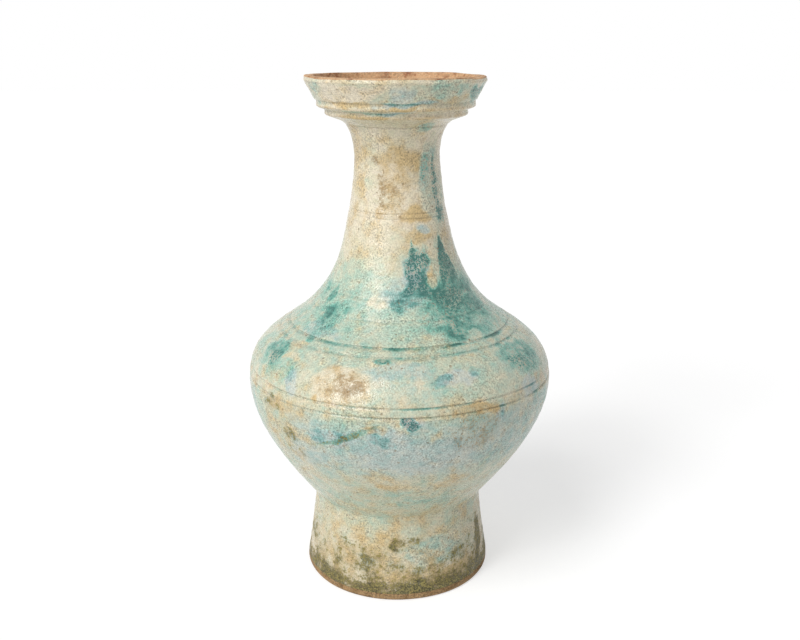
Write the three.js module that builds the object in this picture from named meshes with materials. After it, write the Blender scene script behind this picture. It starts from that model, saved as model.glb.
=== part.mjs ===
// A lead-glazed earthenware hu: a tall wine jar with a stepped dish mouth, a long waisted neck, a full
// rounded belly and a splayed hollow foot. It is built as a potter builds it, from five pieces thrown
// apart on the wheel and luted face to face: foot ring, lower bowl, upper bowl, neck and dish mouth.
// Millimetres, +Z up, origin at the centre of the circle that the foot stands on.
import * as THREE from "three";

// The whole height, then the heights stacked from the ground up to the shoulder and those hung from
// the lip down to the neck's band. The neck's long sweep joins the two stacks.
const JAR_HEIGHT = 420;
const FOOT_HEIGHT = 71;
const LOWER_BELLY_RISE = 105;
const UPPER_BELLY_RISE = 58;
const DISH_WALL_DROP = 19.2;
const UPPER_LEDGE_DROP = 7.2;
const LOWER_LEDGE_DROP = 7.8;
const NECK_FLARE_DROP = 28.8;
const NECK_STEM_DROP = 43;

// Outside radii at the stations between those heights
const FOOT_RADIUS = 80.4;
const WAIST_RADIUS = 72;
const BELLY_RADIUS = 127.4;
const SHOULDER_RADIUS = 78;
const NECK_BAND_RADIUS = 40.2;
const NECK_RADIUS = 34.8;
const FLARE_RADIUS = 46.6;
const LOWER_LEDGE_RADIUS = 57.6;
const UPPER_LEDGE_RADIUS = 63.8;
const MOUTH_RADIUS = 72.6;

// Directions, in degrees up from the radial one: the plain ones, then the outline's at its stations
const OUTWARD = 0;
const UPRIGHT = 90;
const INWARD = 180;
const WAIST_ANGLE = 50.5;
const SHOULDER_ANGLE = 139;
const NECK_BAND_ANGLE = 104;
const FLARE_ANGLE = 17.5;

// How strongly the two ends of each curve hold their directions, as shares of its chord
const LOWER_BELLY_PULLS = [0.5, 0.24];
const UPPER_BELLY_PULLS = [0.42, 0.37];
const NECK_SWEEP_PULLS = [0.46, 0.22];
const NECK_STEM_PULLS = [0.2, 0.2];
const NECK_FLARE_PULLS = [0.36, 0.3];
const UNDERSIDE_PULLS = [0.35, 0.35];
const BOWL_FLOOR_PULLS = [0.12, 0.4];
const DISH_FLOOR_PULLS = [0.35, 0.35];
const DISH_WALL_PULLS = [0.3, 0.5];

// Walls
const FOOT_WALL = 9.5;
const BOWL_WALL = 9;
const SHOULDER_WALL = 8.5;
const NECK_WALL = 8;
const LIP_WIDTH = 6.6;
const FLOOR_THICKNESS = 11;

// The swelling that the potter's hand leaves inside where two pieces are luted
const JOIN_SWELL = 2;
const JOIN_SWELL_REACH = 11;

// Foot: a worn round on the standing edge, and a wall that draws in slightly on its way up
const FOOT_EDGE_ROUND = 3.2;
const FOOT_SWELL_HEIGHT = 6;
const FOOT_TAPER_HEIGHT = 58;
const FOOT_HOLLOW = 1.1;
const UNDERSIDE_DROP = 7;
const UNDERSIDE_SLOPE = 20;
const UNDERSIDE_CLEARANCE = 0.4;

// String lines cut with a point while the pot turned
const LINE_WIDTH = 3;
const LINE_DEPTH = 1.2;
const LINE_CLEAR_SHARE = 0.6;
const BELLY_LINE_GAP = 7;
const BELLY_JOIN_ABOVE_WIDEST = 5;
const SHOULDER_LINE_GAP = 5;
const SHOULDER_LINES_BELOW_TURN = 16;
const UPPER_LINE_ABOVE_TURN = 4.5;
const NECK_JOIN_ABOVE_TURN = 18;
const NECK_LINE_GAP = 3.8;
const NECK_LINE_WIDTH = 2.2;
const NECK_LINE_DEPTH = 0.8;
const MOUTH_JOIN_BELOW_DISH = 3.8;

// Dish mouth
const LEDGE_SLOPE = 20;
const LEDGE_ROUND = 2.6;
const LEDGE_NECKING = 0.7;
const DISH_WALL_ROOT = 0.9;
const LIP_ROUND = 1.6;
const LIP_DROOP = 3.4;
const LIP_DRAW = 0.85;
const LIP_INNER_ROUND = 1.3;
const LIP_INNER_DROP = 2.6;
const DISH_CORNER_RADIUS = 50;
const DISH_CORNER_RISE = 8.8;
const DISH_CORNER_ANGLE = 24;
const DISH_INNER_LEAN = 62;
const THROAT_ANGLE = 55;

// Facets: sides of the wheel's circle, points of each outline curve that the faces are picked from,
// and steps up each face
const SIDES = 52;
const FINE = 160;
const LOWER_BOWL_STEPS = { outer: 11, inner: 7 };
const UPPER_BOWL_STEPS = { outer: 13, inner: 8 };
const NECK_STEPS = { outer: 15, inner: 9 };
const THROAT_STEPS = 4;
const FOOT_SIDE_STEPS = 6;
const FLOOR_STEPS = 4;
const DISH_WALL_STEPS = 5;
const NOSE_STEPS = 3;
const EDGE_STEPS = 2;

const GLAZE = { color: 0xc3cdb4, roughness: 0.45, metalness: 0 };

const degrees = Math.PI / 180;
const point = (r, z) => new THREE.Vector2(r, z);
const heading = (angle) => point(Math.cos(angle * degrees), Math.sin(angle * degrees));

// A smooth curve between two points with a heading at each. The pulls are shares of the chord.
function sweep(from, fromAngle, to, toAngle, [fromPull, toPull]) {
  const chord = from.distanceTo(to);
  return new THREE.CubicBezierCurve(
    from,
    from.clone().addScaledVector(heading(fromAngle), fromPull * chord),
    to.clone().addScaledVector(heading(toAngle), -toPull * chord),
    to,
  );
}

// A round of one radius between two straight runs, as points from the first run to the second
function rounded(before, corner, after, radius, steps) {
  const back = before.clone().sub(corner).normalize();
  const ahead = after.clone().sub(corner).normalize();
  const reach = radius / Math.tan(back.angleTo(ahead) / 2);
  const start = corner.clone().addScaledVector(back, reach);
  const end = corner.clone().addScaledVector(ahead, reach);
  return new THREE.QuadraticBezierCurve(start, corner, end).getPoints(steps);
}

// Stations of the outline
const waist = point(WAIST_RADIUS, FOOT_HEIGHT);
const belly = point(BELLY_RADIUS, waist.y + LOWER_BELLY_RISE);
const shoulder = point(SHOULDER_RADIUS, belly.y + UPPER_BELLY_RISE);
const lipTop = JAR_HEIGHT;
const upperLedgeTop = lipTop - DISH_WALL_DROP;
const lowerLedgeTop = upperLedgeTop - UPPER_LEDGE_DROP;
const flare = point(FLARE_RADIUS, lowerLedgeTop - LOWER_LEDGE_DROP);
const neckStem = point(NECK_RADIUS, flare.y - NECK_FLARE_DROP);
const neckBand = point(NECK_BAND_RADIUS, neckStem.y - NECK_STEM_DROP);

const outlineCurves = [
  sweep(waist, WAIST_ANGLE, belly, UPRIGHT, LOWER_BELLY_PULLS),
  sweep(belly, UPRIGHT, shoulder, SHOULDER_ANGLE, UPPER_BELLY_PULLS),
  sweep(shoulder, SHOULDER_ANGLE, neckBand, NECK_BAND_ANGLE, NECK_SWEEP_PULLS),
  sweep(neckBand, NECK_BAND_ANGLE, neckStem, UPRIGHT, NECK_STEM_PULLS),
  sweep(neckStem, UPRIGHT, flare, FLARE_ANGLE, NECK_FLARE_PULLS),
];

// Heights where the thrown pieces meet
const bellyJoin = belly.y + BELLY_JOIN_ABOVE_WIDEST;
const neckJoin = shoulder.y + NECK_JOIN_ABOVE_TURN;
const mouthJoin = flare.y - MOUTH_JOIN_BELOW_DISH;
const joins = [bellyJoin, neckJoin, mouthJoin];

// String lines on each piece: height, width and depth
const shoulderLine = shoulder.y - SHOULDER_LINES_BELOW_TURN;
const stringLines = [
  { height: bellyJoin, width: LINE_WIDTH, depth: LINE_DEPTH },
  { height: bellyJoin + BELLY_LINE_GAP, width: LINE_WIDTH, depth: LINE_DEPTH },
  { height: shoulderLine, width: LINE_WIDTH, depth: LINE_DEPTH },
  { height: shoulderLine + SHOULDER_LINE_GAP, width: LINE_WIDTH, depth: LINE_DEPTH },
  { height: shoulder.y + UPPER_LINE_ABOVE_TURN, width: LINE_WIDTH, depth: LINE_DEPTH },
  { height: neckJoin, width: LINE_WIDTH, depth: LINE_DEPTH },
  { height: neckBand.y - NECK_LINE_GAP / 2, width: NECK_LINE_WIDTH, depth: NECK_LINE_DEPTH },
  { height: neckBand.y + NECK_LINE_GAP / 2, width: NECK_LINE_WIDTH, depth: NECK_LINE_DEPTH },
  { height: mouthJoin, width: NECK_LINE_WIDTH, depth: NECK_LINE_DEPTH },
];

// The outline from waist to flare as many close points, each with its outward normal
const fineOutline = outlineCurves.flatMap((curve, index) =>
  curve
    .getPoints(FINE)
    .slice(index ? 1 : 0)
    .map((at, step) => {
      const along = curve.getTangent((step + (index ? 1 : 0)) / FINE);
      return { at, normal: point(along.y, -along.x) };
    }),
);

// The place on a rising line of points at one height
function atHeight(line, z) {
  const above = line.findIndex((p, i) => i > 0 && p.y >= z);
  const [low, high] = [line[above - 1], line[above]];
  return low.clone().lerp(high, (z - low.y) / (high.y - low.y));
}

// The points of a rising line between two heights, with its ends cut level there
function between(line, low, high) {
  const kept = line.filter((p) => p.y > low && p.y < high);
  return [atHeight(line, low), ...kept, atHeight(line, high)];
}

// Every so many points of a line, with both its ends
function thinned(line, count) {
  const last = line.length - 1;
  return Array.from({ length: count + 1 }, (_, i) => line[Math.round((i * last) / count)]);
}

// The outer face of one piece, rising from one height to another, with the string lines cut into it
function outerFace(low, high, steps) {
  const outline = fineOutline.map(({ at }) => at);
  const plain = thinned(between(outline, low, high), steps);
  const cut = [];
  for (const { height, width, depth } of stringLines) {
    for (const side of [-1, 0, 1]) {
      const z = height + (side * width) / 2;
      if (z < low || z > high) continue;
      const { normal } = fineOutline.reduce((best, p) =>
        Math.abs(p.at.y - z) < Math.abs(best.at.y - z) ? p : best,
      );
      const sink = side === 0 ? depth / normal.x : 0;
      cut.push(atHeight(outline, z).sub(point(sink, 0)));
    }
  }
  const clear = plain.filter((p) =>
    stringLines.every(({ height, width }) => Math.abs(p.y - height) > width * LINE_CLEAR_SHARE),
  );
  return [...clear, ...cut].sort((a, b) => a.y - b.y);
}

// The wall's inside, a wall's thickness in from the outline, swelling a little at each join
function innerLine(wall) {
  return fineOutline.map(({ at, normal }) => {
    const swell = joins
      .map((z) => Math.min(1, Math.abs(at.y - z) / JOIN_SWELL_REACH))
      .reduce((sum, away) => sum + JOIN_SWELL * Math.cos((Math.PI / 2) * away) ** 2, 0);
    return at.clone().addScaledVector(normal, -(wall + swell));
  });
}

function innerFace(wall, low, high, steps) {
  return thinned(between(innerLine(wall), low, high), steps).reverse();
}

// A closed profile turned on the wheel
function thrown(name, profile) {
  const geometry = new THREE.LatheGeometry(profile, SIDES);
  geometry.rotateX(Math.PI / 2);
  const mesh = new THREE.Mesh(geometry, new THREE.MeshStandardMaterial(GLAZE));
  mesh.name = name;
  return mesh;
}

const closed = (profile) => [...profile, profile[0].clone()];

// A hollow splayed ring with a worn standing edge. Its level top carries the lower bowl.
function footRing() {
  const innerTop = waist.x - FOOT_WALL;
  const innerFoot = FOOT_RADIUS - FOOT_WALL - FOOT_EDGE_ROUND / 2;
  const heel = point(innerFoot, 0);
  const swell = point(FOOT_RADIUS, FOOT_SWELL_HEIGHT);
  const side = new THREE.QuadraticBezierCurve(swell, point(waist.x, FOOT_TAPER_HEIGHT), waist);
  return thrown(
    "foot_ring",
    closed([
      heel,
      ...rounded(heel, point(FOOT_RADIUS, 0), swell, FOOT_EDGE_ROUND, EDGE_STEPS),
      ...side.getPoints(FOOT_SIDE_STEPS),
      point(innerTop, waist.y),
      point((innerTop + innerFoot - FOOT_HOLLOW) / 2, waist.y / 2),
      point(innerFoot - FOOT_HOLLOW, FOOT_EDGE_ROUND),
    ]),
  );
}

// The lower half of the belly with the vessel's floor. A level seat under it stands on the foot, and
// the floor hangs a little way down inside the foot.
function lowerBowl() {
  const seatInner = waist.x - FOOT_WALL - UNDERSIDE_CLEARANCE;
  const underside = sweep(
    point(0, waist.y - UNDERSIDE_DROP), OUTWARD,
    point(seatInner, waist.y), UNDERSIDE_SLOPE,
    UNDERSIDE_PULLS,
  );
  const floorCentre = point(0, waist.y - UNDERSIDE_DROP + FLOOR_THICKNESS);
  const inner = innerLine(BOWL_WALL);
  const floorEdgeHeight = waist.y + FLOOR_THICKNESS;
  const floorEdge = atHeight(inner, floorEdgeHeight);
  const floor = sweep(floorEdge, INWARD + WAIST_ANGLE, floorCentre, INWARD, BOWL_FLOOR_PULLS);
  return thrown(
    "lower_bowl",
    [
      ...underside.getPoints(FLOOR_STEPS),
      ...outerFace(waist.y, bellyJoin, LOWER_BOWL_STEPS.outer),
      ...innerFace(BOWL_WALL, floorEdgeHeight, bellyJoin, LOWER_BOWL_STEPS.inner),
      ...floor.getPoints(FLOOR_STEPS).slice(1),
    ],
  );
}

function upperBowl() {
  return thrown(
    "upper_bowl",
    closed([
      ...outerFace(bellyJoin, neckJoin, UPPER_BOWL_STEPS.outer),
      ...innerFace(SHOULDER_WALL, bellyJoin, neckJoin, UPPER_BOWL_STEPS.inner),
    ]),
  );
}

function neck() {
  return thrown(
    "neck",
    closed([
      ...outerFace(neckJoin, mouthJoin, NECK_STEPS.outer),
      ...innerFace(NECK_WALL, neckJoin, mouthJoin, NECK_STEPS.inner),
    ]),
  );
}

// A ledge that juts from the line below it: a sloping underside, a round nose and an upright edge
function ledge(root, noseRadius, top) {
  const corner = point(noseRadius, root.y + (noseRadius - root.x) * Math.tan(LEDGE_SLOPE * degrees));
  const edge = point(noseRadius - LEDGE_NECKING, top);
  return [root, ...rounded(root, corner, edge, LEDGE_ROUND, NOSE_STEPS), edge];
}

// Two rounded ledges under a flared wall that ends in a flat lip, with a shallow dish inside that
// falls into the throat
function dishMouth() {
  const lowerLedge = ledge(flare, LOWER_LEDGE_RADIUS, lowerLedgeTop);
  const upperRoot = point(LOWER_LEDGE_RADIUS - LEDGE_NECKING, lowerLedgeTop);
  const upperLedge = ledge(upperRoot, UPPER_LEDGE_RADIUS, upperLedgeTop).slice(1);
  const wallRoot = point(UPPER_LEDGE_RADIUS + DISH_WALL_ROOT, upperLedgeTop + DISH_WALL_ROOT);
  const lipOuter = point(MOUTH_RADIUS, lipTop - LIP_DROOP);
  const lipEdge = point(MOUTH_RADIUS - LIP_DRAW, lipTop);
  const lipInner = point(lipEdge.x - LIP_WIDTH, lipTop);
  const throat = atHeight(innerLine(NECK_WALL), mouthJoin);
  const corner = point(DISH_CORNER_RADIUS, flare.y + DISH_CORNER_RISE);
  const dishLip = lipInner.clone().sub(point(LIP_INNER_ROUND, LIP_INNER_DROP));
  const floor = sweep(throat, THROAT_ANGLE, corner, DISH_CORNER_ANGLE, DISH_FLOOR_PULLS);
  const wall = sweep(corner, DISH_CORNER_ANGLE, dishLip, DISH_INNER_LEAN, DISH_WALL_PULLS);
  return thrown(
    "dish_mouth",
    closed([
      ...outerFace(mouthJoin, flare.y, THROAT_STEPS).slice(0, -1),
      ...lowerLedge,
      ...upperLedge,
      wallRoot,
      lipOuter,
      ...rounded(lipOuter, lipEdge, lipInner, LIP_ROUND, EDGE_STEPS),
      lipInner,
      ...wall.getPoints(DISH_WALL_STEPS).reverse(),
      ...floor.getPoints(FLOOR_STEPS).reverse().slice(1),
    ]),
  );
}

const jar = new THREE.Group();
jar.add(footRing(), lowerBowl(), upperBowl(), neck(), dishMouth());

export default jar;
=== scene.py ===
"""The looks of a lead-glazed earthenware hu jar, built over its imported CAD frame.

The jar is five pieces thrown apart and luted together: foot ring, lower bowl, upper bowl, neck and
dish mouth. Each is turned again here as a smooth wall over its CAD node, worn a little out of true as
hand-thrown ware is, and dressed in one finish: a weathered green and cream glaze over red clay, with
the stains of a long burial. Sizes are millimetres unless a name says otherwise; azimuth is in degrees
round the jar, 0 facing the viewer and positive to the right.
"""

import logging
import math
from dataclasses import dataclass, field
from enum import Enum
from functools import cached_property
from typing import Any, Iterable, Optional, Sequence, Union

import bmesh
import bpy
import numpy as np
from mathutils import Matrix, Vector, noise


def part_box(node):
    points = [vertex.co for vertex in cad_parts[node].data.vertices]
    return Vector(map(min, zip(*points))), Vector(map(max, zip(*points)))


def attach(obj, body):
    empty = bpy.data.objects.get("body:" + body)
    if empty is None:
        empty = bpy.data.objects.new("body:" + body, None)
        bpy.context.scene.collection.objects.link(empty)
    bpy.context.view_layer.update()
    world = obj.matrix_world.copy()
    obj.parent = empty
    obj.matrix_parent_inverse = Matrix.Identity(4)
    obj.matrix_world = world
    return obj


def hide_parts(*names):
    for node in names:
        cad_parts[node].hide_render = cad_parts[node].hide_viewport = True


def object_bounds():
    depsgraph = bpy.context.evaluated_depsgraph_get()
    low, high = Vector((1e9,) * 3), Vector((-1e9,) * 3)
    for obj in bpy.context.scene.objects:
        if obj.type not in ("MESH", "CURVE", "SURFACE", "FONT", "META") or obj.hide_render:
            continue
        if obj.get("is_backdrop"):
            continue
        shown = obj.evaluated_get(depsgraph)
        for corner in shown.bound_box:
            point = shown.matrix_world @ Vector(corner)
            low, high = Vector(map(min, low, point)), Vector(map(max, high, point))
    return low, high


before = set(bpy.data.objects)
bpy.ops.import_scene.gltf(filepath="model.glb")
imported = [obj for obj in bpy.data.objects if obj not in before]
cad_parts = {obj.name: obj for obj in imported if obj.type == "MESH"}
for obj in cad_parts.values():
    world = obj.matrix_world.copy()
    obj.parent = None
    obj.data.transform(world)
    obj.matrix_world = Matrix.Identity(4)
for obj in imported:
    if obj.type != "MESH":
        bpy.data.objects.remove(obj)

MM = 0.001
WHITE = (1, 1, 1, 1)
UPRIGHT = 90.0
# The pitch of a wave that is the same at every height.
LEVEL = 1e6
# Steps round the jar, and the wedges that they are made in.
SIDES = 320
WEDGES = 16
# Points nearer than the weld are merged, and edges past the crease, in degrees, stay sharp.
WELD = 0.002
CREASE = 48.0
# How steeply a stain fades at its edge: an oval's, and the sides, foot and depth of a run.
OVAL_EDGE = 2.5
RUN_SIDE_EDGE = 0.25
RUN_FOOT_EDGE = 1.2
RUN_DEPTH_EDGE = 3.0
RUN_DEPTH = 1.2
SLIGHT_STAIN = 10.0

Rows = tuple[tuple[float, ...], ...]
log = logging.getLogger("hu_jar")


class Tag(Enum):
    """What a point of a thrown wall is, kept on the mesh for the finish to read."""

    LINE = "line"
    CREST = "crest"
    BARE = "bare"


@dataclass(frozen=True)
class Spot:
    """One point of a wall's section.

    Args:
        radius: Distance from the wheel's axis.
        height: Distance above the ground.
        line: How deep in a string line or notch it lies, 0 to 1.
        crest: How far out on an edge it lies, 0 to 1; the finish paints it paler, partly thinner glaze on a
            worn edge and partly a painted highlight.
        bare: 1 where the glaze never reached.
    """

    radius: float
    height: float
    line: float = 0.0
    crest: float = 0.0
    bare: float = 0.0


def glazed(points: Iterable[Vector]) -> list[Spot]:
    """Makes plain glazed spots of points."""
    return [Spot(p.x, p.y) for p in points]


def unglazed(points: Iterable[Vector]) -> list[Spot]:
    """Makes bare clay spots of points."""
    return [Spot(p.x, p.y, bare=1.0) for p in points]


def hump(away: float) -> float:
    """Falls smoothly from 1 at 0 to 0 at 1 and past it."""
    return math.cos(math.pi / 2 * min(1.0, away)) ** 2


@dataclass(frozen=True)
class StringLine:
    """A line cut round the jar with a point while it turned."""

    height: float
    width: float = 3.0
    depth: float = 1.2

    def sink(self, height: float) -> float:
        """Tells how deep the cut is at a height, from 0 beside it to 1 in its middle."""
        return hump(abs(height - self.height) / (self.width / 2))


def heading(angle: float) -> Vector:
    """Gives the unit direction at an angle in degrees up from the radial direction."""
    return Vector((math.cos(math.radians(angle)), math.sin(math.radians(angle))))


def sweep(
    start: Vector, start_angle: float, start_pull: float,
    end: Vector, end_angle: float, end_pull: float, steps: int = 240,
) -> list[Vector]:
    """Draws a smooth curve between two points with a heading at each.

    Args:
        start: First point, radius and height.
        start_angle: Heading there, degrees.
        start_pull: How far the curve keeps to it, as a share of the chord.
        end: Last point.
        end_angle: Heading there, degrees.
        end_pull: How far the curve has kept to it before the end, as a share of the chord.
        steps: Number of steps along the curve.

    Returns:
        The curve's points, both ends included.
    """
    chord = (end - start).length
    near = start + heading(start_angle) * start_pull * chord
    far = end - heading(end_angle) * end_pull * chord
    points = []
    for step in range(steps + 1):
        t = step / steps
        u = 1 - t
        points.append(start * u**3 + near * 3 * u * u * t + far * 3 * u * t * t + end * t**3)
    return points


def bend(start: Vector, corner: Vector, end: Vector, steps: int) -> list[Vector]:
    """Draws an arc that leaves its start towards a corner and reaches its end from there."""
    arc = []
    for step in range(steps + 1):
        t = step / steps
        arc.append(start * (1 - t) ** 2 + corner * 2 * t * (1 - t) + end * t * t)
    return arc


def rounded(before: Vector, corner: Vector, after: Vector, radius: float, steps: int = 8) -> list[Vector]:
    """Rounds the corner between two straight runs.

    Args:
        before: A point on the first run.
        corner: Where the runs would meet.
        after: A point on the second run.
        radius: Radius of the round.
        steps: Number of steps round it.

    Returns:
        Points from the first run to the second.
    """
    back = (before - corner).normalized()
    ahead = (after - corner).normalized()
    reach = radius / math.tan(back.angle(ahead) / 2)
    most = 0.48
    reach = min(reach, most * (before - corner).length, most * (after - corner).length)
    return bend(corner + back * reach, corner, corner + ahead * reach, steps)


def spaced(line: Sequence[Vector], gap: float) -> list[Vector]:
    """Respaces a line of points evenly.

    Args:
        line: Points in order.
        gap: Wanted distance between neighbours.

    Returns:
        Points along the same line, both ends included.
    """
    lengths = np.cumsum([0.0] + [(b - a).length for a, b in zip(line, line[1:])])
    count = max(2, round(lengths[-1] / gap))
    wanted = np.linspace(0, lengths[-1], count + 1)
    radii = np.interp(wanted, lengths, [p.x for p in line])
    heights = np.interp(wanted, lengths, [p.y for p in line])
    return [Vector((r, z)) for r, z in zip(radii, heights)]


def top_of(node: str) -> float:
    """Gives the height of a CAD node's top."""
    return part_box(node)[1].z / MM


def reach_of(node: str) -> float:
    """Gives the greatest radius of a CAD node."""
    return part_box(node)[1].x / MM


@dataclass(frozen=True)
class JarOutline:
    """The jar's outline from waist to dish, and the lines cut into it.

    The joins' heights and the belly's radius are the frame's. A heading is in degrees up from the
    radial direction, and the pulls say how far each stretch of the outline keeps to the headings at
    its two ends.
    """

    waist_radius: float = 72.0
    shoulder_radius: float = 78.0
    shoulder_above_join: float = 53.0
    band_radius: float = 40.2
    band_above_join: float = 62.0
    stem_radius: float = 34.8
    stem_below_dish: float = 28.8
    flare_radius: float = 46.6
    flare_above_join: float = 3.8
    belly_below_join: float = 5.0
    waist_heading: float = 50.5
    turn_heading: float = 139.0
    band_heading: float = 104.0
    flare_heading: float = 17.5
    pulls: Rows = ((0.5, 0.24), (0.42, 0.37), (0.46, 0.22), (0.2, 0.2), (0.36, 0.3))
    belly_line_gap: float = 7.0
    shoulder_line_below_turn: float = 16.0
    shoulder_line_gap: float = 5.0
    upper_line_above_turn: float = 4.5
    band_line_gap: float = 3.8
    lean_reach: float = 2.0
    waist_join: float = field(default_factory=lambda: top_of("foot_ring"))
    belly_join: float = field(default_factory=lambda: top_of("lower_bowl"))
    neck_join: float = field(default_factory=lambda: top_of("upper_bowl"))
    mouth_join: float = field(default_factory=lambda: top_of("neck"))
    belly_radius: float = field(default_factory=lambda: reach_of("lower_bowl"))

    def flare_height(self) -> float:
        """Gives the height where the dish's underside starts."""
        return self.mouth_join + self.flare_above_join

    def turn_height(self) -> float:
        """Gives the height where the shoulder turns up into the neck."""
        return self.belly_join + self.shoulder_above_join

    def band_height(self) -> float:
        """Gives the height of the neck's pair of lines."""
        return self.neck_join + self.band_above_join

    @cached_property
    def points(self) -> list[Vector]:
        """Draws the plain outline, without its lines, from the waist up to the dish's underside."""
        knots = [
            (self.waist_radius, self.waist_join, self.waist_heading),
            (self.belly_radius, self.belly_join - self.belly_below_join, UPRIGHT),
            (self.shoulder_radius, self.turn_height(), self.turn_heading),
            (self.band_radius, self.band_height(), self.band_heading),
            (self.stem_radius, self.flare_height() - self.stem_below_dish, UPRIGHT),
            (self.flare_radius, self.flare_height(), self.flare_heading),
        ]
        line = [Vector(knots[0][:2])]
        for (*start, leaving), (*end, arriving), (first, last) in zip(knots, knots[1:], self.pulls):
            line += sweep(Vector(start), leaving, first, Vector(end), arriving, last)[1:]
        return line

    def lines(self) -> list[StringLine]:
        """Lists the string lines from the belly up."""
        shoulder = self.turn_height() - self.shoulder_line_below_turn
        band = self.band_height()
        return [
            StringLine(self.belly_join),
            StringLine(self.belly_join + self.belly_line_gap),
            StringLine(shoulder, depth=0.9),
            StringLine(shoulder + self.shoulder_line_gap),
            StringLine(self.turn_height() + self.upper_line_above_turn, depth=0.5),
            StringLine(self.neck_join, depth=0.45),
            StringLine(band - self.band_line_gap / 2, width=2.2, depth=0.6),
            StringLine(band + self.band_line_gap / 2, width=2.2, depth=0.6),
            StringLine(self.mouth_join, width=2.2, depth=0.7),
        ]

    @cached_property
    def whole(self) -> tuple[np.ndarray, np.ndarray]:
        """Gives heights and radii of the plain outline, the foot and the dish included roughly."""
        heights = [0.0] + [p.y for p in self.points] + [top_of("dish_mouth")]
        radii = [reach_of("foot_ring")] + [p.x for p in self.points] + [reach_of("dish_mouth")]
        return np.array(heights), np.array(radii)

    def radius_at(self, height: float) -> float:
        """Gives the plain outline's radius at a height."""
        return float(np.interp(height, *self.whole))

    def lean_at(self, height: float) -> float:
        """Gives the outline's heading at a height, in degrees up from the radial direction."""
        out = self.radius_at(height + self.lean_reach) - self.radius_at(height - self.lean_reach)
        return math.degrees(math.atan2(2 * self.lean_reach, out))


@dataclass(frozen=True)
class Wave:
    """One slow ripple round and up a thrown wall."""

    size: float
    turns: int
    pitch: float
    phase: float

    def at(self, azimuth: np.ndarray, height: np.ndarray) -> np.ndarray:
        """Evaluates the ripple at azimuths in radians and heights."""
        return self.size * np.sin(self.turns * azimuth + height * 2 * math.pi / self.pitch + self.phase)


@dataclass(frozen=True)
class Chip:
    """A small loss on the lip."""

    azimuth: float
    width: float
    depth: float


@dataclass(frozen=True)
class Wear:
    """How the hand-thrown jar departs from a true turned form. Every shift is inwards or sideways.

    The drift leans the jar, the ripples and throwing rings move its radius, the wobble moves the
    string lines and the cut makes their depth uneven. Raggedness is the grain and the reach of each
    push that a stain's edge gets.
    """

    jar_height: float
    drift_heights: tuple[float, ...] = (0, 70, 180, 260, 340, 420)
    drift_shifts: tuple[float, ...] = (-1.9, -1.8, 0.0, -0.6, -1.7, -3.2)
    ripples: tuple[Wave, ...] = (
        Wave(0.16, 2, 140, 0.4), Wave(0.14, 3, -95, 1.9), Wave(0.1, 5, 62, 4.0), Wave(0.06, 9, -41, 2.6),
    )
    throwing: tuple[Wave, ...] = (Wave(0.07, 1, 8.5, 0.0), Wave(0.05, 1, 13.7, 1.2))
    wobble: tuple[Wave, ...] = (Wave(0.5, 1, 900, 0.8), Wave(0.3, 3, -700, 2.1), Wave(0.14, 7, 300, 0.3))
    cut: tuple[Wave, ...] = (Wave(0.22, 2, 33, 1.0), Wave(0.18, 5, -21, 2.2), Wave(0.12, 11, 17, 0.5))
    lip_sag: tuple[Wave, ...] = (
        Wave(0.3, 1, LEVEL, 2.4), Wave(0.2, 3, LEVEL, 0.3), Wave(0.12, 8, LEVEL, 1.1),
    )
    lip_reach: float = 10.0
    raggedness: Rows = ((17.0, 5.0), (6.0, 3.2))
    seed: int = 7
    cut_shallow: float = 0.42
    shallowest: float = 0.85
    calm_radius: float = 20.0
    chip_from: float = 67.0
    chip_full: float = 4.0
    chip_inwards: float = 0.6
    chips: tuple[Chip, ...] = (
        Chip(-52, 9, 0.9), Chip(-38, 5, 0.6), Chip(-8, 4, 0.35), Chip(24, 5, 0.4), Chip(58, 6, 1.0),
        Chip(66, 3, 0.7), Chip(121, 8, 0.9), Chip(178, 5, 0.6), Chip(231, 10, 1.1), Chip(262, 4, 0.5),
    )

    def ragged(self, place: np.ndarray) -> np.ndarray:
        """Pushes points about, so that what is drawn over them has ragged edges.

        Args:
            place: Points in millimetres, one row each.

        Returns:
            The moved points, for looking a stain up and not for the mesh.
        """
        noise.seed_set(self.seed)
        moved = place.copy()
        for grain, reach in self.raggedness:
            moved += reach * np.array([noise.noise_vector(Vector(point) / grain) for point in place])
        return moved

    def settle(self, place: np.ndarray, line: np.ndarray) -> np.ndarray:
        """Moves points of the true form to where the hand left them.

        Args:
            place: Points in millimetres, one row each.
            line: How deep in a string line each point lies.

        Returns:
            The moved points.
        """
        x, y, z = place.T
        radius = np.hypot(x, y)
        azimuth = np.arctan2(x, -y)
        spread = sum(w.size for w in self.ripples + self.throwing)
        shift = sum(w.at(azimuth, z) for w in self.ripples + self.throwing) - spread
        missing = np.clip(self.cut_shallow + sum(w.at(azimuth, z) for w in self.cut), 0.0, self.shallowest)
        calm = np.minimum(1.0, radius / self.calm_radius)
        radius = np.maximum(0.0, radius + calm * shift + line * missing)
        window = np.sin(np.pi * np.clip(z / self.jar_height, 0, 1))
        z = z + window * sum(w.at(azimuth, z) for w in self.wobble)
        near_lip = np.clip((z - self.jar_height + self.lip_reach) / self.lip_reach, 0, 1)
        sag = sum(w.size for w in self.lip_sag) - sum(w.at(azimuth, z) for w in self.lip_sag)
        z = z - near_lip * sag
        for chip in self.chips:
            turn = np.degrees(np.angle(np.exp(1j * (azimuth - math.radians(chip.azimuth)))))
            bite = chip.depth * np.exp(-((turn / chip.width) ** 2)) * near_lip**3
            outer = np.clip((radius - self.chip_from) / self.chip_full, 0, 1)
            z = z - bite * outer
            radius = radius - self.chip_inwards * bite * outer
        drift = np.interp(z, self.drift_heights, self.drift_shifts)
        return np.stack([radius * np.sin(azimuth) + drift, -radius * np.cos(azimuth), z], axis=1)


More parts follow.
